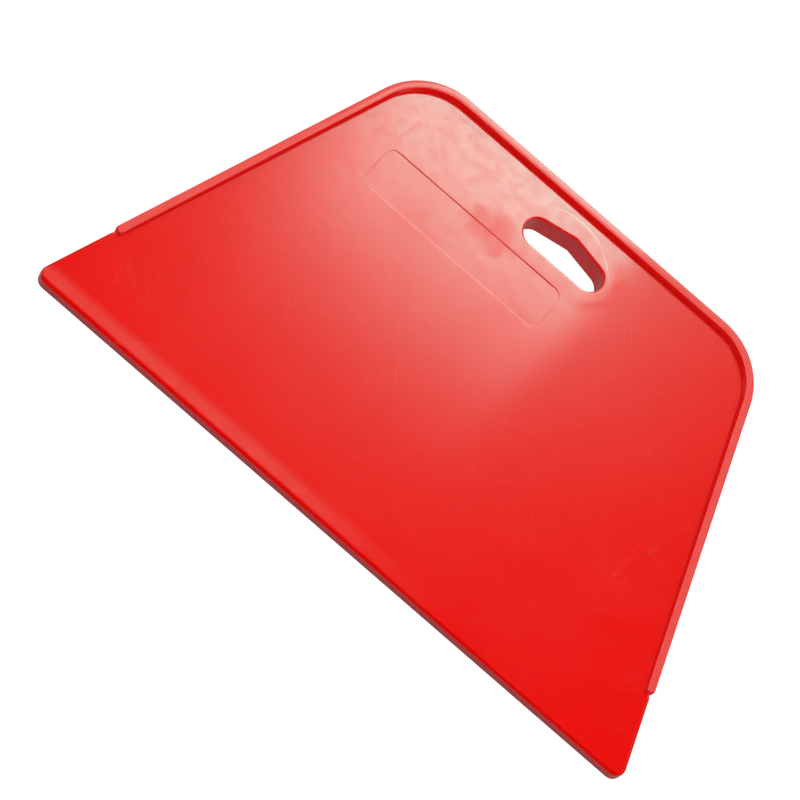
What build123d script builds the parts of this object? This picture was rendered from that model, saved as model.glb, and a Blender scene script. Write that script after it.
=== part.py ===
from build123d import *
import math
import os

# A trapezoid squeegee applicator with a 6 inch blade, in millimetres.
# X runs along the blade, Y from the blade to the grip edge, and Z up from the resting face.
# The origin is the bottom centre of the bounding box.

# Outline, along the outer faces of the grip bead
BLADE_WIDTH = 152.0
GRIP_WIDTH = 91.0
REACH = 90.9
GRIP_CORNER_R = 15.5
BLADE_CORNER_R = 2.2

# Plate, a wedge that is thin and springy at the blade and stiff at the grip
BLADE_THICKNESS = 3.0
GRIP_THICKNESS = 6.4
BEVEL_RUN = 0.62
BEVEL_DROP = 0.45
BEVEL_FOOT_R = 0.25
EDGE_R = 0.3

# Grip bead, moulded on round three sides of the plate
BEAD_WIDTH = 2.2
BEAD_HEIGHT_AT_BLADE = 0.6
BEAD_HEIGHT_AT_GRIP = 1.35
BEAD_PROUD = 0.4
BEAD_NOSE_Y = 17.6
BEAD_FLANK = 0.5
BEAD_TOP_R = 0.25
CAP_TRIM = 1.0
SKIRT_WIDTH = 1.3
TONGUE_DEPTH = 0.5
TONGUE_BOTTOM = 1.1
TONGUE_TOP = 2.3

# Hang slot, straight on the blade side and peaked on the grip side
SLOT_X = 0.5
SLOT_BOTTOM_Y = 75.7
SLOT_PEAK_Y = 83.4
SLOT_END_R = 3.15
SLOT_END_X = 6.75
SLOT_PEAK_R = 0.8
SLOT_EDGE_R = 0.4

# Blank label panel, recessed to the left of the slot
PANEL_LENGTH = 45.8
PANEL_WIDTH = 10.3
PANEL_X = -17.3
PANEL_Y = 66.7
PANEL_CORNER_R = 2.0
PANEL_DEPTH = 0.1

# Worked out from the sizes above
BLADE_Y = -REACH / 2
GRIP_Y = REACH / 2
PLATE_SLOPE = (GRIP_THICKNESS - BLADE_THICKNESS) / REACH
BEAD_TOP_AT_BLADE = BLADE_THICKNESS + BEAD_HEIGHT_AT_BLADE
BEAD_TOP_AT_GRIP = GRIP_THICKNESS + BEAD_HEIGHT_AT_GRIP
TALL = 2 * BEAD_TOP_AT_GRIP
UP = Vector(0, 0, 1)
DOWN = Vector(0, 0, -1)


def plate_top(y):
    """Height of the plate's upper face at a place along Y."""
    return BLADE_THICKNESS + PLATE_SLOPE * (y - BLADE_Y)


def rail_path(inset, start_y):
    """Open path along the left side, round the grip corners and down the right side."""
    run = (BLADE_WIDTH - GRIP_WIDTH) / 2
    side = math.hypot(run, REACH)
    shift = inset * side / REACH
    half_blade = BLADE_WIDTH / 2 - shift
    half_grip = half_blade - run * (REACH - inset) / REACH
    half_start = half_blade - run * (start_y - BLADE_Y) / REACH
    top_y = GRIP_Y - inset
    points = [(-half_start, start_y), (-half_grip, top_y), (half_grip, top_y), (half_start, start_y)]
    return FilletPolyline(*points, radius=GRIP_CORNER_R - inset)


def outline_face(inset):
    """Plan of the whole tool, set in from the bead's outer faces on three sides."""
    rail = rail_path(inset, BLADE_Y)
    blade = Line(rail @ 0, rail @ 1)
    face = make_face([rail, blade])
    corners = face.vertices().group_by(Axis.Y)[0]
    return fillet(corners, radius=BLADE_CORNER_R)


def band(outer, inner, bottom, top, nose_shift=0):
    """Upright strip between two insets, with a round nose at each end."""
    width = inner - outer
    nose_centre_y = BLADE_Y + BEAD_NOSE_Y + BEAD_WIDTH / 2 + nose_shift
    centre_line = rail_path((outer + inner) / 2, nose_centre_y)
    wire = offset(centre_line, amount=width / 2, side=Side.BOTH, kind=Kind.ARC)
    return extrude(Plane.XY.offset(bottom) * make_face(wire), amount=top - bottom)


def below_slope(z_at_blade, z_at_grip):
    """Block that fills the space under a face sloping from the blade to the grip."""
    profile = Polyline(
        (BLADE_Y, 0),
        (GRIP_Y, 0),
        (GRIP_Y, z_at_grip),
        (BLADE_Y, z_at_blade),
        close=True,
    )
    return extrude(Plane.YZ * make_face(profile), amount=BLADE_WIDTH, both=True)


def rim(solid, direction, hole=False):
    """Edges round the flat face that looks most nearly in a direction, or round its hole."""
    face = solid.faces().filter_by(GeomType.PLANE).sort_by(lambda f: f.normal_at().dot(direction))[-1]
    return face.inner_wires()[0].edges() if hole else face.outer_wire().edges()


def bevel_foot(solid):
    """Edges where the bevel meets the upright sides."""
    walls = solid.faces().filter_by(lambda f: abs(f.normal_at().Z) < 0.01)
    return [e for e in walls.edges() if e.center().Z > BLADE_THICKNESS / 2 and abs((e % 0.5).Z) < 0.5]


def slot_face():
    """Plan of the hang slot."""
    centre_y = BLADE_Y + SLOT_BOTTOM_Y + SLOT_END_R
    peak = Vector(SLOT_X, BLADE_Y + SLOT_PEAK_Y)
    centre = Vector(SLOT_X + SLOT_END_X, centre_y)
    to_centre = centre - peak
    turn = math.asin(SLOT_END_R / to_centre.length)
    roof_angle = math.atan2(to_centre.Y, to_centre.X) + turn
    roof_normal = Vector(-math.sin(roof_angle), math.cos(roof_angle))
    tangent = centre + roof_normal * SLOT_END_R
    end_point = centre + Vector(SLOT_END_R, 0)
    floor_point = centre - Vector(0, SLOT_END_R)
    half = [Line(peak, tangent)]
    half += [ThreePointArc(tangent, centre + (roof_normal + Vector(1, 0)).normalized() * SLOT_END_R, end_point)]
    half += [ThreePointArc(end_point, centre + Vector(1, -1).normalized() * SLOT_END_R, floor_point)]
    half += [Line(floor_point, Vector(SLOT_X, floor_point.Y))]
    other_half = [mirror(edge, about=Plane.YZ.offset(SLOT_X)) for edge in half]
    face = make_face(half + other_half)
    corner = face.vertices().sort_by(Axis.Y)[-1]
    return fillet(corner, radius=SLOT_PEAK_R)


def panel_cutter():
    """Shallow block with the label panel's outline, level with the plate's upper face."""
    middle_y = BLADE_Y + PANEL_Y
    normal = Vector(0, -PLATE_SLOPE, 1).normalized()
    plane = Plane(origin=(PANEL_X, middle_y, plate_top(middle_y)), x_dir=(1, 0, 0), z_dir=normal)
    outline = plane * RectangleRounded(PANEL_LENGTH, PANEL_WIDTH, PANEL_CORNER_R)
    return extrude(outline, amount=PANEL_DEPTH, both=True)


def make_blank():
    """Wedge plate with its bevelled rim and its hang slot, before the panel and the rebate."""
    prism = extrude(outline_face(BEAD_PROUD), amount=TALL)
    blank = prism & below_slope(BLADE_THICKNESS, GRIP_THICKNESS)
    blank = chamfer(rim(blank, UP), length=BEVEL_RUN, length2=BEVEL_DROP)
    blank = fillet(bevel_foot(blank), radius=BEVEL_FOOT_R)
    blank = fillet(rim(blank, DOWN), radius=EDGE_R)
    blank = blank - extrude(slot_face(), amount=TALL)
    slot_rims = rim(blank, UP, hole=True) + rim(blank, DOWN, hole=True)
    return fillet(slot_rims, radius=SLOT_EDGE_R)


def make_cap():
    """Part of the bead that stands on the plate's upper face, upright outside with a sloping flank inside."""
    wide = band(-CAP_TRIM, BEAD_WIDTH, 0, TALL, nose_shift=CAP_TRIM / 2)
    wide = wide & below_slope(BEAD_TOP_AT_BLADE, BEAD_TOP_AT_GRIP)
    cap = chamfer(rim(wide, UP), length=BEAD_FLANK) & extrude(outline_face(0), amount=TALL)
    cap = cap - below_slope(BLADE_THICKNESS, GRIP_THICKNESS)
    return fillet(outside_edges(cap), radius=BEAD_TOP_R)


def outside_edges(cap):
    """Edges round the cap's top along the bead's outer faces."""
    core = outline_face(BEAD_TOP_R / 2)
    return [e for e in rim(cap, UP) if not core.is_inside(Vector((e @ 0.5).X, (e @ 0.5).Y, 0))]


def make_skirt():
    """Part of the bead that closes round the plate's edge, down to the resting face."""
    return band(0, SKIRT_WIDTH, 0, TALL) & below_slope(BLADE_THICKNESS, GRIP_THICKNESS)


def make_tongue():
    """Rib along the plate's edge that keys into the skirt."""
    return band(SKIRT_WIDTH - TONGUE_DEPTH, SKIRT_WIDTH, TONGUE_BOTTOM, TONGUE_TOP)


def grip_bead():
    """Raised bead round the two slanted sides and the grip edge, with its foot rounded outside."""
    prism = extrude(outline_face(0), amount=TALL)
    skirt = make_skirt() & fillet(rim(prism, DOWN), radius=EDGE_R)
    return make_cap() + skirt - make_tongue()


def spreader_plate():
    """Flexible plate with the blade, the hang slot and the label panel."""
    return make_blank() - panel_cutter() - make_skirt() + make_tongue()


os.makedirs("parts", exist_ok=True)
for name, solid in {"spreader_plate": spreader_plate(), "grip_bead": grip_bead()}.items():
    export_step(solid, f"parts/{name}.step")
    print(name, round(solid.volume, 1), solid.is_valid, len(solid.solids()), solid.bounding_box())
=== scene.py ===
import bmesh
import bpy
import math
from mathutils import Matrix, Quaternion, Vector, noise
from mathutils.geometry import delaunay_2d_cdt
from mathutils.kdtree import KDTree


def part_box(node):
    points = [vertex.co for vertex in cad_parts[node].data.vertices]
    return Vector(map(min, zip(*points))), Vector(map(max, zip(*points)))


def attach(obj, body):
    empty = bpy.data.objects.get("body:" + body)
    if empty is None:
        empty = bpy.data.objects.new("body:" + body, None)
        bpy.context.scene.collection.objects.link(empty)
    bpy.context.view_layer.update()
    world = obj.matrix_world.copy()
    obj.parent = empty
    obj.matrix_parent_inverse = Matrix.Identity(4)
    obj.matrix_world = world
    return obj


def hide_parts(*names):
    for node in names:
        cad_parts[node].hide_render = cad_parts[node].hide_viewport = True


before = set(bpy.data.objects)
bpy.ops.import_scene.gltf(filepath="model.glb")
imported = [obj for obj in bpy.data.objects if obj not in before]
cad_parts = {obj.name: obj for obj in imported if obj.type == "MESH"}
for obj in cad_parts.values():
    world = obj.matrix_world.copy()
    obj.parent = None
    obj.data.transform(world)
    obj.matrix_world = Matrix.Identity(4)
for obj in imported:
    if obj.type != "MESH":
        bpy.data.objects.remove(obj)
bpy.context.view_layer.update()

MM = 0.001

# Camera, in degrees and metres
VIEW_AZIMUTH = 1.49
VIEW_ELEVATION = 63.53
VIEW_ROLL = 42.28
VIEW_DISTANCE = 0.7112
VIEW_TARGET = Vector((-0.00555, -0.01427, 0.003))
LENS_MM = 162.0
SENSOR_MM = 36.0
CLIP_START = 0.01

# Studio, where 1 is the brightness that lights white paper to white
FLOOR_HALF = 1.5
FLOOR_Z = -0.00005
FLOOR_GREY = (0.32, 0.32, 0.32, 1)
FLOOR_ROUGHNESS = 0.9
FLOOR_LIFT = 0.9
WHITE = (1, 1, 1, 1)
FRONT_LEVEL = 4.6
SIDE_LEVEL = 1.7
REAR_LEVEL = 1.2
KEY_LEVEL = 9.5
CARD_LEVEL = 0.6
KEY_TINT = (0.25, 1.0, 0.87, 1)

# Edges of the lights. A light starts at the first value and is full at the second. The values are
# parts of a unit direction: ahead is towards the camera, back is away from it, aside is to either
# side, across is to the right and up is overhead.
FRONT_AHEAD_LOW, FRONT_AHEAD_HIGH, FRONT_ASIDE = (0, 0.15), (0.6, 0.45), (0.55, 0.35)
CARD_UP_LOW, CARD_UP_HIGH, CARD_AHEAD = (0, 0.15), (0.4, 0.3), (0, 0.2)
SIDE_ASIDE_LOW, SIDE_ASIDE_HIGH = (0.45, 0.6), (0.95, 0.8)
SIDE_BACK, SIDE_UP = (-0.2, 0.1), (0.15, 0.35)
REAR_BACK = (0.6, 0.85)
KEY_BACK_LOW, KEY_BACK_HIGH = (0.336, 0.45), (0.9, 0.75)
KEY_ACROSS_LOW, KEY_ACROSS_HIGH = (-0.068, -0.038), (0.0372, 0.0307)
KEY_FALLOFF = 2.9

# The tool's ends, in millimetres, read off the frame
BEAD_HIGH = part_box("grip_bead")[1] / MM
PLATE_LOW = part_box("spreader_plate")[0] / MM
BLADE_Y = PLATE_LOW.y
GRIP_Y = BEAD_HIGH.y
REACH = GRIP_Y - BLADE_Y

# Driving sizes of the part, in millimetres
BLADE_WIDTH = 152.0
GRIP_WIDTH = 91.0
GRIP_CORNER_R = 15.5
BLADE_CORNER_R = 2.2
BLADE_THICKNESS = 3.0
GRIP_THICKNESS = 6.4
BEVEL_RUN = 0.62
BEVEL_DROP = 0.45
EDGE_R = 0.3
BEAD_WIDTH = 2.2
BEAD_HEIGHT_AT_BLADE = 0.6
BEAD_HEIGHT_AT_GRIP = 1.35
BEAD_PROUD = 0.4
BEAD_NOSE_Y = 17.6
BEAD_FLANK = 0.5
BEAD_TOP_R = 0.25
SKIRT_WIDTH = 1.3
TONGUE_DEPTH = 0.5
TONGUE_BOTTOM = 1.1
TONGUE_TOP = 2.3
SLOT_X = 0.5
SLOT_BOTTOM_Y = 75.7
SLOT_PEAK_Y = 83.4
SLOT_END_R = 3.15
SLOT_END_X = 6.75
SLOT_PEAK_R = 0.8
SLOT_EDGE_R = 0.4
PANEL_LENGTH = 45.8
PANEL_WIDTH = 10.3
PANEL_X = -17.3
PANEL_Y = 66.7
PANEL_CORNER_R = 2.0
PANEL_DEPTH = 0.1

# Fine form of the mouldings, in millimetres and degrees
BEVEL_TOP_R = 0.1
BEVEL_FOOT_R = 0.25
SEAM_R = 0.06
ROOT_R = 0.04
TONGUE_CHAMFER = 0.1
FLANK_ANGLE = 45
FLANK_TOP_R = 0.1
BEAD_CROWN = 0.01
SKIRT_NOSE_Y = BLADE_Y + BEAD_NOSE_Y + (BEAD_WIDTH - SKIRT_WIDTH) / 2
NOTCH = 0.35
NOTCH_OUTER_R = 1.0
NOTCH_INNER_R = 0.8
PANEL_STEP = 0.15
PANEL_END_STEP = 0.02
PANEL_FADE = 3.0
PAD_OFFSET = 3.3
PAD_STEP = 0.9
PAD_HEIGHT = 0.004
PAD_WANDER = 0.5
PAD_WANDER_LENGTH = 4
RIDGE_HEIGHT = 0.008
RIDGE_HALF = 0.25
RIDGE_FROM_Y = 37.5
RIDGE_FADE = 1
WAVE_LENGTH = 14.0
WAVE_HEIGHT = 0.004
WAVE_LAYER = 7

# Spacing of the meshes' points, in millimetres, steps and shares
ARC_STEPS = 6
SHORT_ARC_STEPS = 4
CROWN_STEPS = 5
SUPPORT = 0.12
OUTLINE_PITCH = 1.2
SLOT_PITCH = 0.6
PANEL_PITCH = 1.0
BEAD_PITCH = 1.0
TOP_PITCH = 1.1
BOTTOM_PITCH = 3.0
COVERED_PITCH = 0.11
ROW_RATIO = 0.866
CLEAR_OF_RINGS = 0.45
FREE_WALL_SHARES = (0.1, 0.3, 0.5, 0.6)
SLOT_WALL_SHARES = (0.05, 0.35, 0.65, 0.95)
BEAD_WALL_SHARE = 0.2
BEAD_WALL_HEIGHTS = (-0.25, -0.02, 0.1)
BEAD_SEAM_HEIGHTS = (-0.001, -0.3)
PANEL_RING_STEPS = (-0.9, -0.6, -0.35, -0.12, 0.12, 0.35, 0.6, 0.9)
NOSE_ANGLES = (82, 72, 60, 46, 30, 15)
BARREL = 0.00001
INSIDE_TRIANGLES = 1
SAME_POINT = 1e-5
SAME_PLACE = 0.001
SHARP_ANGLE = 40
NORMAL_WEIGHT = 75

# Plastic
RED = (0.93, 0.002, 0.001, 1)
DEEP_RED = (0.88, 0.001, 0.0008, 1)
# Pale red for scratches and specks, and for the painted highlights and sheen
PALE_RED = (0.95, 0.42, 0.36, 1)
GLOSS_ROUGHNESS = 0.05
HAZE_ROUGHNESS = 0.15
BEAD_HAZE_ROUGHNESS = 0.2
DULL_ROUGHENS = 0.25

# How pale each kind of mark and painted highlight is
BLADE_BAND_PALE = 0.1
# The bead top's paleness is a painted sheen on its upward faces
TOP_SHEEN_PALE = 0.15
SPECK_PALE = 0.15
MARK_PALE = 0.04
# The streaks by the slot are painted highlights: pale arcs standing for light on fine ridges
STREAK_HIGHLIGHT_PALE = 0.6

# How dull each kind of mark is
DULL_BESIDE_SLOT = 0.34
SMALL_MOTTLE, SMALL_MOTTLE_EDGE = 0.18, (0.35, 0.7)
LARGE_MOTTLE, LARGE_MOTTLE_EDGE = 0.1, (0.4, 0.75)
MARK_DULL = 0.25
RUBBED_DULL = 0.25
BEAD_MOTTLE = 0.2

# How deep or high each kind of mark is, in millimetres
SCRATCH_DEPTH = 0.0007
PEEL_HEIGHT = 0.0006
FLOW_HEIGHT = 0.0005

# Places, sizes (mm) and angles (degrees) of the marks. A painted streak highlight is a radius, a half
# width, and the start and stop along X. The pale band starts and stops above the blade and fades
# across the tool.
LONG_SCRATCH_ANGLES = (8, 47, 84, 126, 161)
SHORT_SCRATCH_ANGLES = (25, 66, 103, 148)
STREAK_HIGHLIGHT_CENTRE = (-1.0, 26.5)
STREAK_HIGHLIGHTS = ((15.2, 0.35, -7, 9), (14.9, 0.2, 6, 12))
BLADE_BAND_LOW, BLADE_BAND_HIGH, BLADE_BAND_ACROSS = (0.8, 1.2), (4.8, 2.4), (30.0, -25.0)
SCUFF_PLACE, SCUFF_RADII = (-60.0, -33.0), (9.0, 7.0)
BRUSHED_PLACE, BRUSHED_RADII = (52.0, -8.0), (7.0, 9.0)
DULL_PLACE, DULL_RADII = (-13.6, 26.8), (8.5, 5.5)
FLOW_PLACE, FLOW_RADII = (-1.0, 28.2), (9.0, 2.2)
FLOW_TURNS = 13.0

# Edges and unevenness of the marks, as shares
SPOT_EDGE, SPOT_RAGGED = (1.45, 0.85), 0.9
RUBBED_AND_SHEEN_EDGE = (0.85, 0.98)
PATCH_GAIN, PATCH_BASE = 0.8, 0.6
NOISE_MIDDLE = (0.5, 0.5, 0.5)
FAINTEST_MARK = 0.3
MARK_RADIUS = 0.5

# Shifts that keep one kind of mark from falling on another
SHIFT_PARTS = (1, 0.7, 0.3)
SCRATCH_SHIFT = (3.1, 1.7)
SPECK_SHIFT = (31, 17, 0)

# Colour sockets of the Mix node
MIX_FIRST, MIX_SECOND, MIX_RESULT = 6, 7, 2


# ---------------------------------------------------------------- plan outlines

def side_point(y, inset):
    """Point on the right side's line at a place along Y, set in from the bead's outer face."""
    run = (BLADE_WIDTH - GRIP_WIDTH) / 2
    shift = inset * math.hypot(run, REACH) / REACH
    return (BLADE_WIDTH / 2 - shift - run * (y - BLADE_Y) / REACH, y)


def mirrored(corners):
    """The same corners on the left, in the opposite order, so that the outline runs on."""
    return [(-x, y, radius) for x, y, radius in reversed(corners)]


def rounded_path(corners, closed, pitch=OUTLINE_PITCH):
    """Places with inward normals along straight runs joined by arcs, counter-clockwise."""
    points = [Vector(corner[:2]) for corner in corners]
    count = len(points)
    ends = []
    for i, corner in enumerate(corners):
        before = (points[i - 1] - points[i]).normalized()
        after = (points[(i + 1) % count] - points[i]).normalized()
        if not closed and i in (0, count - 1):
            ends.append(None)
            continue
        half_angle = before.angle(after) / 2
        reach = corner[2] / math.tan(half_angle)
        centre = points[i] + (before + after).normalized() * corner[2] / math.sin(half_angle)
        ends.append((points[i] + before * reach, points[i] + after * reach, centre))
    samples = []
    for i in range(count if closed else count - 1):
        start = ends[i][1] if ends[i] else points[i]
        following = (i + 1) % count
        stop = ends[following][0] if ends[following] else points[following]
        run = stop - start
        normal = Vector((-run.y, run.x)).normalized()
        steps = max(1, round(run.length / pitch))
        samples += [(start + run * k / steps, normal) for k in range(steps)]
        if ends[following] is None:
            samples.append((stop, normal))
            continue
        samples += arc_samples(stop, normal, *ends[following][1:], pitch)
    return samples


def arc_samples(start, normal, stop, centre, pitch):
    """Places from the start of an arc up to just before its end."""
    turn = (start - centre).angle_signed(stop - centre)
    steps = max(ARC_STEPS, round(abs(turn) * (start - centre).length / pitch))
    samples = []
    for k in range(steps):
        angle = -turn * k / steps
        cosine, sine = math.cos(angle), math.sin(angle)
        arm = start - centre
        turned = Vector((arm.x * cosine - arm.y * sine, arm.x * sine + arm.y * cosine))
        facing = Vector((normal.x * cosine - normal.y * sine, normal.x * sine + normal.y * cosine))
        samples.append((centre + turned, facing))
    return samples


def plate_outline():
    """The plate's edge: free along the blade, and set back behind the bead's skirt elsewhere."""
    right = [
        (*side_point(BLADE_Y, BEAD_PROUD), BLADE_CORNER_R),
        (*side_point(SKIRT_NOSE_Y - NOTCH, BEAD_PROUD), NOTCH_OUTER_R),
        (*side_point(SKIRT_NOSE_Y + NOTCH, SKIRT_WIDTH), NOTCH_INNER_R),
        (*side_point(GRIP_Y - SKIRT_WIDTH, SKIRT_WIDTH), GRIP_CORNER_R - SKIRT_WIDTH),
    ]
    return rounded_path(right + mirrored(right), closed=True)


def slot_outline():
    """The hang slot's edge, a triangle with rounded corners, with normals into the plate."""
    bottom = BLADE_Y + SLOT_BOTTOM_Y
    centre = Vector((SLOT_X + SLOT_END_X, bottom + SLOT_END_R))
    peak = Vector((SLOT_X, BLADE_Y + SLOT_PEAK_Y))
    to_centre = centre - peak
    roof = math.atan2(to_centre.y, to_centre.x) + math.asin(SLOT_END_R / to_centre.length)
    half = (bottom - peak.y) / math.tan(roof)
    corners = [(SLOT_X + x, bottom, SLOT_END_R) for x in (-half, half)]
    corners.append((SLOT_X, peak.y, SLOT_PEAK_R))
    return [(place, -normal) for place, normal in rounded_path(corners, closed=True, pitch=SLOT_PITCH)]


def panel_outline():
    """The label panel's edge, halfway down its step."""
    x0, x1 = PANEL_X - PANEL_LENGTH / 2, PANEL_X + PANEL_LENGTH / 2
    middle = BLADE_Y + PANEL_Y
    y0, y1 = middle - PANEL_WIDTH / 2, middle + PANEL_WIDTH / 2
    corners = [(x, y, PANEL_CORNER_R) for x, y in ((x0, y0), (x1, y0), (x1, y1), (x0, y1))]
    return rounded_path(corners, closed=True, pitch=PANEL_PITCH)


def ring(samples, inset):
    """The plan points of an outline, moved along its normals."""
    return [place + normal * inset for place, normal in samples]


# ---------------------------------------------------------------- heights

def plate_top(y):
    """Height of the plate's upper face at a place along Y."""
    return BLADE_THICKNESS + (GRIP_THICKNESS - BLADE_THICKNESS) * (y - BLADE_Y) / REACH


def bead_top(y):
    """Height of the bead's top at a place along Y."""
    at_blade = BLADE_THICKNESS + BEAD_HEIGHT_AT_BLADE
    return at_blade + (GRIP_THICKNESS + BEAD_HEIGHT_AT_GRIP - at_blade) * (y - BLADE_Y) / REACH


def ease(value, start, end):
    """Rises smoothly from 0 at start to 1 at end."""
    share = min(1, max(0, (value - start) / (end - start)))
    return share * share * (3 - 2 * share)


def panel_distance(x, y):
    """Distance out from the label panel's edge, negative inside it."""
    across = abs(x - PANEL_X) - PANEL_LENGTH / 2 + PANEL_CORNER_R
    along = abs(y - BLADE_Y - PANEL_Y) - PANEL_WIDTH / 2 + PANEL_CORNER_R
    outside = math.hypot(max(across, 0), max(along, 0))
    return outside + min(max(across, along), 0) - PANEL_CORNER_R


def nearest_tree(places):
    """A tree that finds the nearest of some places in the plan."""
    tree = KDTree(len(places))
    for index, place in enumerate(places):
        tree.insert((place.x, place.y, 0), index)
    tree.balance()
    return tree


SLOT = slot_outline()
SLOT_TREE = nearest_tree([place for place, _ in SLOT])


def in_slot(x, y):
    """Whether a point lies in the hang slot's opening or on its rounded edge."""
    place, index, _ = SLOT_TREE.find((x, y, 0))
    return (Vector((x, y)) - place.xy).dot(SLOT[index][1]) < SLOT_EDGE_R + SUPPORT


def relief(x, y):
    """Fine form of the upper face: the panel's recess, the pad round the slot and slow ripples."""
    towards_end = ease(abs(x - PANEL_X) - PANEL_LENGTH / 2, -PANEL_FADE, 0)
    step = PANEL_STEP + (PANEL_END_STEP - PANEL_STEP) * towards_end
    recess = PANEL_DEPTH * (1 - ease(panel_distance(x, y), -step / 2, step / 2))
    from_slot = SLOT_TREE.find((x, y, 0))[2]
    wander = PAD_WANDER * noise.noise(Vector((x, y, 0)) / PAD_WANDER_LENGTH)
    beyond = ease(from_slot + wander, PAD_OFFSET - PAD_STEP / 2, PAD_OFFSET + PAD_STEP / 2)
    pad = PAD_HEIGHT * (1 - beyond)
    ridge = RIDGE_HEIGHT * ease(abs(from_slot - PAD_OFFSET), RIDGE_HALF, 0)
    ridge *= ease(y, RIDGE_FROM_Y - RIDGE_FADE, RIDGE_FROM_Y + RIDGE_FADE)
    ripple = WAVE_HEIGHT * noise.noise(Vector((x, y, WAVE_LAYER)) / WAVE_LENGTH)
    return pad + ridge + ripple - recess


def upper_face(x, y):
    """Height of the plate's upper face with its fine form."""
    return plate_top(y) + relief(x, y)


# ---------------------------------------------------------------- edge profiles

def arc(across, height, radius, start, stop, steps=ARC_STEPS):
    """Profile points on an arc, with angles in degrees from the inward direction."""
    angles = [math.radians(start + (stop - start) * k / steps) for k in range(steps + 1)]
    return [(across + radius * math.cos(a), height + radius * math.sin(a)) for a in angles]


def free_edge():
    """Rows (inset, height, share of the top height) of the plate's bevelled edge."""
    slope = math.atan2(BEVEL_DROP, BEVEL_RUN)
    wall_reach = BEVEL_FOOT_R * math.tan((math.pi / 2 - slope) / 2)
    top_reach = BEVEL_TOP_R * math.tan(slope / 2)
    facing = 90 + math.degrees(slope)
    rows = [(u, z, 0) for u, z in arc(EDGE_R, EDGE_R, EDGE_R, -90, -180)]
    rows += [(0, EDGE_R * (1 - share), share) for share in FREE_WALL_SHARES]
    foot = arc(BEVEL_FOOT_R, -BEVEL_DROP - wall_reach, BEVEL_FOOT_R, 180, facing)
    crest = arc(BEVEL_RUN + top_reach, -BEVEL_TOP_R, BEVEL_TOP_R, facing, 90)
    rows += [(u, z, 1) for u, z in foot + crest]
    return rows + [(BEVEL_RUN + top_reach + SUPPORT, 0, 1)]


def covered_edge():
    """Rows of the plate's edge behind the skirt, with the tongue, as many as on the free edge."""
    rows = [(u, z, 0) for u, z in arc(SEAM_R, SEAM_R, SEAM_R, -90, -180)]
    rows += [(0, TONGUE_BOTTOM - TONGUE_CHAMFER, 0)]
    rows += [(-TONGUE_DEPTH, TONGUE_BOTTOM + TONGUE_CHAMFER, 0)]
    rows += [(-TONGUE_DEPTH, TONGUE_TOP - TONGUE_CHAMFER, 0)]
    rows += [(0, TONGUE_TOP + TONGUE_CHAMFER, 0)]
    clear_of_tongue = TONGUE_TOP + 2 * TONGUE_CHAMFER
    rise = ARC_STEPS + 1
    rows += [(0, clear_of_tongue * (1 - k / rise), k / rise) for k in range(1, rise + 1)]
    return rows + [(COVERED_PITCH * k, 0, 1) for k in range(1, ARC_STEPS + 3)]


def slot_edge():
    """Rows of the slot's wall, rounded at both faces."""
    rows = [(u, z, 0) for u, z in arc(SLOT_EDGE_R, SLOT_EDGE_R, SLOT_EDGE_R, -90, -180)]
    rows += [(0, SLOT_EDGE_R * (1 - 2 * share), share) for share in SLOT_WALL_SHARES]
    rows += [(u, z, 1) for u, z in arc(SLOT_EDGE_R, -SLOT_EDGE_R, SLOT_EDGE_R, 180, 90)]
    return rows + [(SLOT_EDGE_R + SUPPORT, 0, 1)]


# ---------------------------------------------------------------- mesh building

def add_rings(bm, samples, rows_of, top):
    """Loops of vertices up an edge, each row a loop round the outline."""
    height = len(rows_of(0))
    loops = [[] for _ in range(height)]
    for index, (place, normal) in enumerate(samples):
        for loop, (inset, base, share) in zip(loops, rows_of(index)):
            point = place + normal * inset
            level = base + share * top(point.x, point.y)
            loop.append(bm.verts.new(Vector((point.x, point.y, level)) * MM))
    return loops


def bridge(bm, loops, flip=False):
    """Quads between neighbouring closed loops."""
    for lower, upper in zip(loops, loops[1:]):
        count = len(lower)
        for i in range(count):
            j = (i + 1) % count
            face = [lower[i], lower[j], upper[j], upper[i]]
            bm.faces.new(reversed(face) if flip else face)


def grid_points(pitch, rings, outer):
    """Points of a triangular grid inside the outline, clear of the rings."""
    near = nearest_tree([place for loop in rings for place in loop])
    low = Vector((min(p.x for p in outer), min(p.y for p in outer)))
    high = Vector((max(p.x for p in outer), max(p.y for p in outer)))
    inside = []
    rows = int((high.y - low.y) / (pitch * ROW_RATIO)) + 1
    for row in range(rows):
        y = low.y + row * pitch * ROW_RATIO
        half = side_point(y, BEAD_WIDTH)[0]
        x = -half + (row % 2) * pitch / 2
        while x < half:
            clear = near.find((x, y, 0))[2] > CLEAR_OF_RINGS * pitch
            if clear and grip_corner_depth(x, y) > 0 and not in_slot(x, y):
                inside.append(Vector((x, y)))
            x += pitch
    return inside


def grip_corner_depth(x, y):
    """How far a point is inside the rounded corners at the grip edge, where it lies near them."""
    radius = GRIP_CORNER_R - BEAD_WIDTH
    corner = Vector(side_point(GRIP_Y - BEAD_WIDTH, BEAD_WIDTH))
    side = (Vector(side_point(BLADE_Y, BEAD_WIDTH)) - corner).normalized()
    half_angle = side.angle(Vector((-1, 0))) / 2
    bisector = (side + Vector((-1, 0))).normalized()
    centre = corner + bisector * radius / math.sin(half_angle)
    arm = Vector((abs(x), y)) - centre
    beyond = arm.normalized().dot(-bisector) > math.sin(half_angle) if arm.length else False
    return radius - arm.length if beyond else 1


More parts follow.
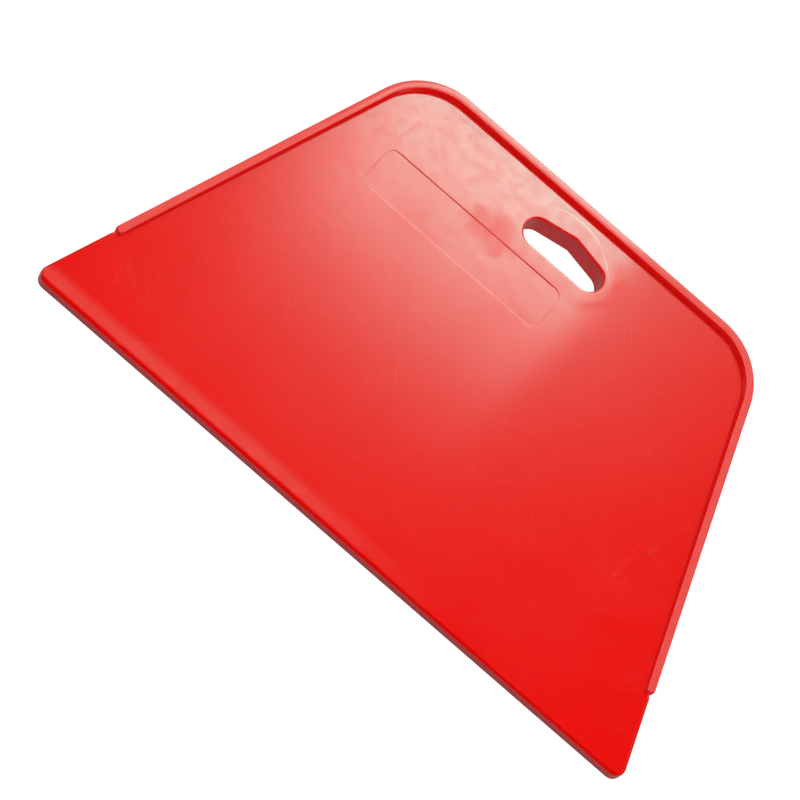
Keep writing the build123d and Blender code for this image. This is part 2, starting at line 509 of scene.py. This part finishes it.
def fill_face(bm, outer, hole, extra_rings, pitch, height, flip):
    """Triangulates a face between its outer loop and the slot, following any extra rings.

    The triangulation works on a plan with a slight barrel shape, so that no straight side gives a
    flat triangle. Triangles with all their corners on the slot's edge would close the slot.
    """
    border = [Vector(v.co.xy) / MM for v in outer]
    opening = [Vector(v.co.xy) / MM for v in hole]
    loops = [border, opening] + extra_rings
    places = [place for loop in loops for place in loop]
    edges = []
    start = 0
    for loop in loops:
        edges += [(start + i, start + (i + 1) % len(loop)) for i in range(len(loop))]
        start += len(loop)
    places += grid_points(pitch, loops, border)
    curved = [place * (1 - BARREL * place.length_squared) for place in places]
    result = delaunay_2d_cdt(curved, edges, [], INSIDE_TRIANGLES, SAME_POINT)
    _, _, faces, origins, _, _ = result
    known = outer + hole
    indices = [origin[0] for origin in origins]
    verts = []
    for i in indices:
        if i < len(known):
            verts.append(known[i])
        else:
            verts.append(bm.verts.new(Vector((*places[i], height(*places[i]))) * MM))
    for face in faces:
        if all(len(outer) <= indices[i] < len(known) for i in face):
            continue
        corners = [verts[i] for i in face]
        bm.faces.new(reversed(corners) if flip else corners)


def finish_mesh(name, bm, material):
    """Turns a bmesh into an object with smooth faces and clean normals."""
    bmesh.ops.recalc_face_normals(bm, faces=bm.faces)
    mesh = bpy.data.meshes.new(name)
    bm.to_mesh(mesh)
    bm.free()
    mesh.shade_smooth()
    mesh.set_sharp_from_angle(angle=math.radians(SHARP_ANGLE))
    mesh.materials.append(material)
    piece = bpy.data.objects.new(name, mesh)
    bpy.context.scene.collection.objects.link(piece)
    weighted = piece.modifiers.new("clean_normals", "WEIGHTED_NORMAL")
    weighted.keep_sharp = True
    weighted.weight = NORMAL_WEIGHT
    return piece


def moulded_plate(material):
    """The flexible plate, with its bevelled edge, its hang slot and its label panel."""
    bm = bmesh.new()
    outline = plate_outline()
    free, covered, slot_rows = free_edge(), covered_edge(), slot_edge()

    def edge_rows(index):
        """Rows of the bevelled edge up to the bead's nose, and of the edge behind the skirt beyond."""
        return free if outline[index][0].y < SKIRT_NOSE_Y + SAME_PLACE else covered

    edge = add_rings(bm, outline, edge_rows, upper_face)
    wall = add_rings(bm, SLOT, lambda index: slot_rows, upper_face)
    bridge(bm, edge)
    bridge(bm, wall, flip=True)
    panel = panel_outline()
    panel_rings = [ring(panel, PANEL_STEP * step) for step in PANEL_RING_STEPS]
    fill_face(bm, edge[-1], wall[-1], panel_rings, TOP_PITCH, upper_face, flip=False)
    fill_face(bm, edge[0], wall[0], [], BOTTOM_PITCH, lambda x, y: 0, flip=True)
    return finish_mesh("moulded_plate", bm, material)


def bead_profile():
    """Section of the bead: (inset, height, base) where base names what the height is measured from.

    It runs up the outer wall, over the top, down the inner flank and round the seam with the plate.
    """
    top_r = BEAD_TOP_R
    flank_x = BEAD_WIDTH - BEAD_FLANK
    soften = FLANK_TOP_R * math.tan(math.radians(FLANK_ANGLE / 2))
    rows = [(u, z, "floor") for u, z in arc(EDGE_R, EDGE_R, EDGE_R, -90, -180)]
    rows += [(0, BEAD_WALL_SHARE, "rise")] + [(0, z, "plate") for z in BEAD_WALL_HEIGHTS]
    rows += [(u, z - BEAD_CROWN, "bead") for u, z in arc(top_r, -top_r, top_r, 180, 90)]
    for k in range(1, CROWN_STEPS):
        share = k / CROWN_STEPS
        rows.append((top_r + (flank_x - top_r) * share, -BEAD_CROWN * (2 * share - 1) ** 2, "bead"))
    flank_top = (flank_x - soften, -BEAD_CROWN - FLANK_TOP_R)
    flank_foot = (BEAD_WIDTH - FLANK_TOP_R, -BEAD_FLANK - soften)
    flank = arc(*flank_top, FLANK_TOP_R, 90, FLANK_ANGLE, SHORT_ARC_STEPS)
    flank += arc(*flank_foot, FLANK_TOP_R, FLANK_ANGLE, 0, SHORT_ARC_STEPS)
    rows += [(u, z, "bead") for u, z in flank]
    root = arc(0, ROOT_R, ROOT_R, 0, -90, SHORT_ARC_STEPS)
    rows += [(BEAD_WIDTH + ROOT_R - u, z, "plate") for u, z in root]
    rows += [(SKIRT_WIDTH, z, "plate") for z in BEAD_SEAM_HEIGHTS]
    rows += [(SKIRT_WIDTH, TONGUE_TOP + TONGUE_CHAMFER, "floor")]
    rows += [(SKIRT_WIDTH - TONGUE_DEPTH, TONGUE_TOP - TONGUE_CHAMFER, "floor")]
    rows += [(SKIRT_WIDTH - TONGUE_DEPTH, TONGUE_BOTTOM + TONGUE_CHAMFER, "floor")]
    rows += [(SKIRT_WIDTH, TONGUE_BOTTOM - TONGUE_CHAMFER, "floor")]
    rows += [(u, z, "floor") for u, z in arc(SKIRT_WIDTH - SEAM_R, SEAM_R, SEAM_R, 0, -90)]
    return rows


def bead_section(bm, profile, place, normal, tangent, angle):
    """One cross-section. At a nose it narrows about the bead's middle as the angle nears 90 degrees."""
    narrow, forward = math.cos(angle), math.sin(angle)
    verts = []
    for inset, height, base in profile:
        is_skirt = base in ("floor", "rise") or (base == "plate" and height < 0)
        half = (SKIRT_WIDTH if is_skirt else BEAD_WIDTH) / 2
        across = half + (inset - half) * narrow
        point = place + normal * across + tangent * half * forward
        if base == "bead":
            spread = math.hypot(across - half, half * forward)
            sink = max(0, spread - half + BEAD_FLANK) * (1 if inset > half else forward)
            level = max(bead_top(point.y) + min(height, -sink), plate_top(point.y) + ROOT_R)
        elif base == "plate":
            level = plate_top(point.y) + height
        elif base == "rise":
            level = height * plate_top(point.y)
        else:
            level = height
        verts.append(bm.verts.new(Vector((point.x, point.y, level)) * MM))
    return verts


def moulded_bead(material):
    """The raised bead, swept along three sides of the plate, with a round nose at each end."""
    bm = bmesh.new()
    lean = math.sin(math.atan2((BLADE_WIDTH - GRIP_WIDTH) / 2, REACH))
    nose_y = BLADE_Y + BEAD_NOSE_Y + BEAD_WIDTH / 2 * (1 + lean)
    right = [(*side_point(nose_y, 0), 0), (*side_point(GRIP_Y, 0), GRIP_CORNER_R)]
    path = rounded_path(right + mirrored(right), closed=False, pitch=BEAD_PITCH)
    profile = bead_profile()
    nose_angles = [math.radians(degrees) for degrees in NOSE_ANGLES]
    sections = []
    start, start_normal = path[0]
    ahead = Vector((start_normal.y, -start_normal.x))
    for angle in nose_angles:
        sections.append(bead_section(bm, profile, start, start_normal, -ahead, angle))
    for place, normal in path:
        sections.append(bead_section(bm, profile, place, normal, Vector((0, 0)), 0))
    end, end_normal = path[-1]
    ahead = Vector((end_normal.y, -end_normal.x))
    for angle in reversed(nose_angles):
        sections.append(bead_section(bm, profile, end, end_normal, ahead, angle))
    bridge(bm, sections)
    bm.faces.new(sections[0])
    bm.faces.new(sections[-1])
    return finish_mesh("moulded_bead", bm, material)


# ---------------------------------------------------------------- material nodes

def link_value(tree, socket, value):
    """Sets a socket to a number, or links it to another socket."""
    if isinstance(value, bpy.types.NodeSocket):
        tree.links.new(value, socket)
    else:
        socket.default_value = value


def calc(tree, operation, *values, clamp=False):
    """Adds a Math node and returns its result."""
    node = tree.nodes.new("ShaderNodeMath")
    node.operation = operation
    node.use_clamp = clamp
    for socket, value in zip(node.inputs, values):
        link_value(tree, socket, value)
    return node.outputs[0]


def smooth_step(tree, value, start, end):
    """Rises smoothly from 0 at start to 1 at end."""
    node = tree.nodes.new("ShaderNodeMapRange")
    node.interpolation_type = "SMOOTHSTEP"
    link_value(tree, node.inputs["Value"], value)
    node.inputs["From Min"].default_value = start
    node.inputs["From Max"].default_value = end
    return node.outputs["Result"]


def product(tree, first, *others):
    """Multiplies values, each a number or a socket."""
    for other in others:
        first = calc(tree, "MULTIPLY", first, other)
    return first


def vector_calc(tree, operation, *values):
    """Adds a Vector Math node and returns its vector."""
    node = tree.nodes.new("ShaderNodeVectorMath")
    node.operation = operation
    for socket, value in zip(node.inputs, values):
        link_value(tree, socket, value)
    return node.outputs["Vector"]


def millimetres(tree):
    """Places on the object in millimetres."""
    coords = tree.nodes.new("ShaderNodeTexCoord").outputs["Object"]
    return vector_calc(tree, "SCALE", coords, (0, 0, 0), (0, 0, 0), 1 / MM)


def cloud(tree, place, size, detail, shift=0.0):
    """Smooth noise from 0 to 1 with features of a size in millimetres."""
    node = tree.nodes.new("ShaderNodeTexNoise")
    moved = vector_calc(tree, "ADD", place, tuple(shift * part for part in SHIFT_PARTS))
    tree.links.new(moved, node.inputs["Vector"])
    node.inputs["Scale"].default_value = 1 / size
    node.inputs["Detail"].default_value = detail
    return node.outputs[0]


def bent(tree, place, size, amount):
    """Places pushed about by slow noise, so that straight marks curve."""
    node = tree.nodes.new("ShaderNodeTexNoise")
    tree.links.new(place, node.inputs["Vector"])
    node.inputs["Scale"].default_value = 1 / size
    node.inputs["Detail"].default_value = 0.0
    push = vector_calc(tree, "SUBTRACT", node.outputs["Color"], NOISE_MIDDLE)
    return vector_calc(tree, "ADD", place, vector_calc(tree, "MULTIPLY", push, (amount, amount, 0)))


def scattered(tree, place, cell, share, radius):
    """Soft spots in a random share of cells of a size (x, y) in millimetres, 0 outside them."""
    node = tree.nodes.new("ShaderNodeTexVoronoi")
    node.voronoi_dimensions = "2D"
    node.inputs["Scale"].default_value = 1.0
    scaled = vector_calc(tree, "MULTIPLY", place, (1 / cell[0], 1 / cell[1], 0))
    tree.links.new(scaled, node.inputs["Vector"])
    split = tree.nodes.new("ShaderNodeSeparateColor")
    tree.links.new(node.outputs["Color"], split.inputs[0])
    chosen = calc(tree, "LESS_THAN", split.outputs[0], share)
    strength = calc(tree, "MULTIPLY_ADD", split.outputs[1], 1 - FAINTEST_MARK, FAINTEST_MARK)
    inside = smooth_step(tree, node.outputs["Distance"], radius, radius / 2)
    return product(tree, inside, chosen, strength)


def scratches(tree, place, angle, length, width, share):
    """Thin marks in one direction, at random places."""
    turn = tree.nodes.new("ShaderNodeVectorRotate")
    turn.rotation_type = "Z_AXIS"
    shift = (angle * SCRATCH_SHIFT[0], angle * SCRATCH_SHIFT[1], 0)
    tree.links.new(vector_calc(tree, "ADD", place, shift), turn.inputs["Vector"])
    turn.inputs["Angle"].default_value = math.radians(-angle)
    return scattered(tree, turn.outputs[0], (length, width), share, MARK_RADIUS)


def total(tree, values):
    """Adds values up."""
    first, *others = values
    for other in others:
        first = calc(tree, "ADD", first, other)
    return first


def spot(tree, place, centre, radii):
    """A soft-edged patch, 1 at its centre and 0 at its ragged rim."""
    offset = vector_calc(tree, "SUBTRACT", place, (*centre, 0))
    flat = vector_calc(tree, "MULTIPLY", offset, (1 / radii[0], 1 / radii[1], 0))
    length = tree.nodes.new("ShaderNodeVectorMath")
    length.operation = "LENGTH"
    tree.links.new(flat, length.inputs[0])
    rim = cloud(tree, place, size=5.0, detail=3.0)
    ragged = calc(tree, "MULTIPLY_ADD", rim, SPOT_RAGGED, length.outputs["Value"])
    return smooth_step(tree, ragged, *SPOT_EDGE)


def streak_highlight(tree, place, radius, half_width, start, stop):
    """A painted highlight: a thin pale arc on the grip side of the slot, between two places along X."""
    flat = vector_calc(tree, "MULTIPLY", place, (1, 1, 0))
    offset = vector_calc(tree, "SUBTRACT", flat, (*STREAK_HIGHLIGHT_CENTRE, 0))
    length = tree.nodes.new("ShaderNodeVectorMath")
    length.operation = "LENGTH"
    tree.links.new(offset, length.inputs[0])
    split = tree.nodes.new("ShaderNodeSeparateXYZ")
    tree.links.new(offset, split.inputs[0])
    away = calc(tree, "ABSOLUTE", calc(tree, "SUBTRACT", length.outputs["Value"], radius))
    x, y = split.outputs["X"], split.outputs["Y"]
    line = product(tree, smooth_step(tree, away, half_width, 0), smooth_step(tree, y, 0, 1))
    fade = (stop - start) / 3
    begun = product(tree, smooth_step(tree, x, start, start + fade), line)
    return product(tree, begun, smooth_step(tree, x, stop, stop - fade))


def mix_colour(tree, share, first, second):
    """Mixes two colours, each a tuple or a socket."""
    node = tree.nodes.new("ShaderNodeMix")
    node.data_type = "RGBA"
    link_value(tree, node.inputs[0], share)
    link_value(tree, node.inputs[MIX_FIRST], first)
    link_value(tree, node.inputs[MIX_SECOND], second)
    return node.outputs[MIX_RESULT]


def scratch_layers(tree, place):
    """Fine use marks: long and short scratches in many directions."""
    curved = bent(tree, place, size=30.0, amount=7.0)
    marks = [
        scratches(tree, curved, angle, length=15.0, width=0.18, share=0.006)
        for angle in LONG_SCRATCH_ANGLES
    ]
    marks += [
        scratches(tree, curved, angle, length=3.4, width=0.16, share=0.003)
        for angle in SHORT_SCRATCH_ANGLES
    ]
    return total(tree, marks)


def specks(tree, place):
    """Tiny pale grains, a few millimetres apart."""
    fine = scattered(tree, place, cell=(2.6, 2.6), share=0.2, radius=0.035)
    moved = vector_calc(tree, "ADD", place, SPECK_SHIFT)
    coarse = scattered(tree, moved, cell=(9.0, 9.0), share=0.25, radius=0.017)
    return calc(tree, "ADD", fine, coarse)


def patches(tree, place, size, detail, shift):
    """Uneven strength for patchy pale areas, about 1 on average."""
    return calc(tree, "MULTIPLY_ADD", cloud(tree, place, size, detail, shift), PATCH_GAIN, PATCH_BASE)


def mottle(tree, place, size, shift, edge, strength):
    """Dull patches of one size."""
    noisy = cloud(tree, place, size, detail=4.0, shift=shift)
    return product(tree, smooth_step(tree, noisy, *edge), strength)


def plate_wear_and_highlights(tree, place):
    """How pale, how dull and how high (mm) each place on the plate is, beside its own gloss; pale arcs
    are painted highlights.
    """
    split = tree.nodes.new("ShaderNodeSeparateXYZ")
    tree.links.new(place, split.inputs[0])
    x, y = split.outputs["X"], split.outputs["Y"]
    # A paler band a few millimetres above the blade, patchy and fading out towards +X
    blade_band = patches(tree, place, size=4.0, detail=3.0, shift=50.0)
    blade_band = product(tree, smooth_step(tree, y, *(BLADE_Y + edge for edge in BLADE_BAND_LOW)), blade_band)
    blade_band = product(tree, blade_band, smooth_step(tree, y, *(BLADE_Y + edge for edge in BLADE_BAND_HIGH)))
    blade_band = product(tree, blade_band, smooth_step(tree, x, *BLADE_BAND_ACROSS))
    marks = scratch_layers(tree, place)
    scuffs = scratches(tree, place, angle=118, length=3.0, width=0.3, share=0.35)
    scuffed = product(tree, spot(tree, place, SCUFF_PLACE, SCUFF_RADII), scuffs)
    brushing = scratches(tree, place, angle=70, length=5.0, width=0.35, share=0.3)
    brushed = product(tree, spot(tree, place, BRUSHED_PLACE, BRUSHED_RADII), brushing)
    streak_highlights = total(tree, [streak_highlight(tree, place, *sizes) for sizes in STREAK_HIGHLIGHTS])
    pale = [
        # Painted highlights: pale arcs standing for light caught on fine ridges by the slot
        product(tree, streak_highlights, STREAK_HIGHLIGHT_PALE),
        product(tree, blade_band, BLADE_BAND_PALE),
        product(tree, specks(tree, place), SPECK_PALE),
        product(tree, total(tree, [marks, scuffed, brushed]), MARK_PALE),
    ]
    dull = [
        product(tree, spot(tree, place, DULL_PLACE, DULL_RADII), DULL_BESIDE_SLOT),
        mottle(tree, place, size=2.0, shift=9.0, edge=SMALL_MOTTLE_EDGE, strength=SMALL_MOTTLE),
        mottle(tree, place, size=13.0, shift=90.0, edge=LARGE_MOTTLE_EDGE, strength=LARGE_MOTTLE),
        product(tree, marks, MARK_DULL),
    ]
    wobble = cloud(tree, place, size=4.0, detail=1.0)
    lines = calc(tree, "SINE", calc(tree, "MULTIPLY_ADD", y, FLOW_TURNS, wobble))
    height = [
        product(tree, spot(tree, place, FLOW_PLACE, FLOW_RADII), lines, FLOW_HEIGHT),
        product(tree, cloud(tree, place, size=1.4, detail=1.0, shift=20.0), PEEL_HEIGHT),
        product(tree, marks, -SCRATCH_DEPTH),
    ]
    return total(tree, pale), total(tree, dull), total(tree, height)


def bead_wear_and_sheen(tree, place):
    """The same for the bead, which is rubbed dull along its top, where a painted sheen also pales the
    upward faces.
    """
    split = tree.nodes.new("ShaderNodeSeparateXYZ")
    tree.links.new(tree.nodes.new("ShaderNodeNewGeometry").outputs["Normal"], split.inputs[0])
    patchy = patches(tree, place, size=3.0, detail=4.0, shift=70.0)
    # Rubbed dull along the top, and paled there by a painted sheen on the upward faces
    rubbed_and_sheen = product(tree, smooth_step(tree, split.outputs["Z"], *RUBBED_AND_SHEEN_EDGE), patchy)
    marks = scratch_layers(tree, place)
    pale = [
        product(tree, rubbed_and_sheen, TOP_SHEEN_PALE),
        product(tree, specks(tree, place), SPECK_PALE),
        product(tree, marks, MARK_PALE),
    ]
    dull = [
        product(tree, rubbed_and_sheen, RUBBED_DULL),
        product(tree, cloud(tree, place, size=2.2, detail=4.0, shift=9.0), BEAD_MOTTLE),
    ]
    height = [
        product(tree, cloud(tree, place, size=1.1, detail=1.0, shift=20.0), PEEL_HEIGHT),
        product(tree, marks, -SCRATCH_DEPTH),
    ]
    return total(tree, pale), total(tree, dull), total(tree, height)


def red_plastic(name, wear_and_light, haze):
    """Moulded plastic with a hard clear gloss over a hazier body, both marked by use and paled by
    painted highlights.
    """
    material = bpy.data.materials.new(name)
    material.use_nodes = True
    tree = material.node_tree
    shader = tree.nodes["Principled BSDF"]
    place = millimetres(tree)
    pale, dull, height = wear_and_light(tree, place)
    body = mix_colour(tree, cloud(tree, place, size=11.0, detail=4.0), DEEP_RED, RED)
    tree.links.new(mix_colour(tree, pale, body, PALE_RED), shader.inputs["Base Color"])
    tree.links.new(calc(tree, "MULTIPLY_ADD", dull, DULL_ROUGHENS, haze), shader.inputs["Roughness"])
    tree.links.new(calc(tree, "SUBTRACT", 1.0, dull, clamp=True), shader.inputs["Coat Weight"])
    shader.inputs["Coat Roughness"].default_value = GLOSS_ROUGHNESS
    bump = tree.nodes.new("ShaderNodeBump")
    bump.inputs["Distance"].default_value = MM
    tree.links.new(height, bump.inputs["Height"])
    tree.links.new(bump.outputs["Normal"], shader.inputs["Normal"])
    tree.links.new(bump.outputs["Normal"], shader.inputs["Coat Normal"])
    return material


# ---------------------------------------------------------------- studio

def add_camera():
    """A long lens above the tool, rolled so that the blade runs down to the right."""
    azimuth = math.radians(VIEW_AZIMUTH)
    elevation = math.radians(VIEW_ELEVATION)
    forward = Vector((
        math.sin(azimuth) * math.cos(elevation),
        math.cos(azimuth) * math.cos(elevation),
        -math.sin(elevation),
    ))
    camera = bpy.data.objects.new("camera", bpy.data.cameras.new("camera"))
    camera.data.lens = LENS_MM
    camera.data.sensor_width = SENSOR_MM
    camera.data.clip_start = CLIP_START
    camera.rotation_mode = "QUATERNION"
    roll = Quaternion((0, 0, 1), math.radians(VIEW_ROLL))
    camera.rotation_quaternion = forward.to_track_quat("-Z", "Y") @ roll
    camera.location = VIEW_TARGET - forward * VIEW_DISTANCE
    bpy.context.scene.collection.objects.link(camera)
    bpy.context.scene.camera = camera


def add_floor():
    """White paper that looks overexposed to the camera but lights the tool as plain paper."""
    mesh = bpy.data.meshes.new("paper")
    signs = ((-1, -1), (1, -1), (1, 1), (-1, 1))
    corners = [(x * FLOOR_HALF, y * FLOOR_HALF, FLOOR_Z) for x, y in signs]
    mesh.from_pydata(corners, [], [(0, 1, 2, 3)])
    floor = bpy.data.objects.new("paper", mesh)
    bpy.context.scene.collection.objects.link(floor)
    material = bpy.data.materials.new("paper")
    material.use_nodes = True
    tree = material.node_tree
    shader = tree.nodes["Principled BSDF"]
    shader.inputs["Base Color"].default_value = FLOOR_GREY
    shader.inputs["Roughness"].default_value = FLOOR_ROUGHNESS
    shader.inputs["Specular IOR Level"].default_value = 0.0
    shader.inputs["Emission Color"].default_value = WHITE
    seen = tree.nodes.new("ShaderNodeLightPath").outputs["Is Camera Ray"]
    tree.links.new(calc(tree, "MULTIPLY", seen, FLOOR_LIFT), shader.inputs["Emission Strength"])
    floor.data.materials.append(material)


def add_studio_light():
    """Broad lights in front, at both sides and at the back, and a narrow key light at the back.

    The front light doesn't show in reflections, and a weaker card low in front shows only there.
    """
    world = bpy.data.worlds.new("studio")
    bpy.context.scene.world = world
    world.use_nodes = True
    tree = world.node_tree
    direction = tree.nodes.new("ShaderNodeTexCoord").outputs["Generated"]
    split = tree.nodes.new("ShaderNodeSeparateXYZ")
    tree.links.new(direction, split.inputs[0])
    across, back, up = split.outputs
    aside = calc(tree, "ABSOLUTE", across)
    ahead = calc(tree, "MULTIPLY", back, -1)
    mirrored_ray = tree.nodes.new("ShaderNodeLightPath").outputs["Is Glossy Ray"]

    def within(value, *edges):
        """How far a direction is inside the edges of a light, from 0 to 1."""
        return product(tree, *(smooth_step(tree, value, *edge) for edge in edges))

    front = within(ahead, FRONT_AHEAD_LOW, FRONT_AHEAD_HIGH)
    front = product(tree, front, within(aside, FRONT_ASIDE), FRONT_LEVEL)
    front = product(tree, front, calc(tree, "SUBTRACT", 1, mirrored_ray))
    card = product(tree, within(up, CARD_UP_LOW, CARD_UP_HIGH), mirrored_ray)
    card = product(tree, card, within(ahead, CARD_AHEAD), CARD_LEVEL)
    side = within(aside, SIDE_ASIDE_LOW, SIDE_ASIDE_HIGH)
    side = product(tree, side, within(back, SIDE_BACK), within(up, SIDE_UP), SIDE_LEVEL)
    rear = product(tree, within(back, REAR_BACK), REAR_LEVEL)
    key = product(tree, calc(tree, "POWER", within(back, KEY_BACK_LOW), KEY_FALLOFF), KEY_LEVEL)
    key = product(tree, key, within(back, KEY_BACK_HIGH))
    key = product(tree, key, within(across, KEY_ACROSS_LOW), within(across, KEY_ACROSS_HIGH))
    soft = tree.nodes["Background"]
    soft.inputs["Color"].default_value = WHITE
    tree.links.new(total(tree, [front, card, side, rear]), soft.inputs["Strength"])
    hard = tree.nodes.new("ShaderNodeBackground")
    hard.inputs["Color"].default_value = KEY_TINT
    tree.links.new(key, hard.inputs["Strength"])
    both = tree.nodes.new("ShaderNodeAddShader")
    tree.links.new(soft.outputs[0], both.inputs[0])
    tree.links.new(hard.outputs[0], both.inputs[1])
    tree.links.new(both.outputs[0], tree.nodes["World Output"].inputs["Surface"])


bpy.context.scene.view_settings.view_transform = "Standard"
add_camera()
add_floor()
add_studio_light()

for build, plastic, node, slot in (
    (moulded_plate, ("plate_red", plate_wear_and_highlights, HAZE_ROUGHNESS), "spreader_plate", "plate_plastic"),
    (moulded_bead, ("bead_red", bead_wear_and_sheen, BEAD_HAZE_ROUGHNESS), "grip_bead", "bead_plastic"),
):
    piece = build(red_plastic(*plastic))
    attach(piece, "root")
    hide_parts(node)
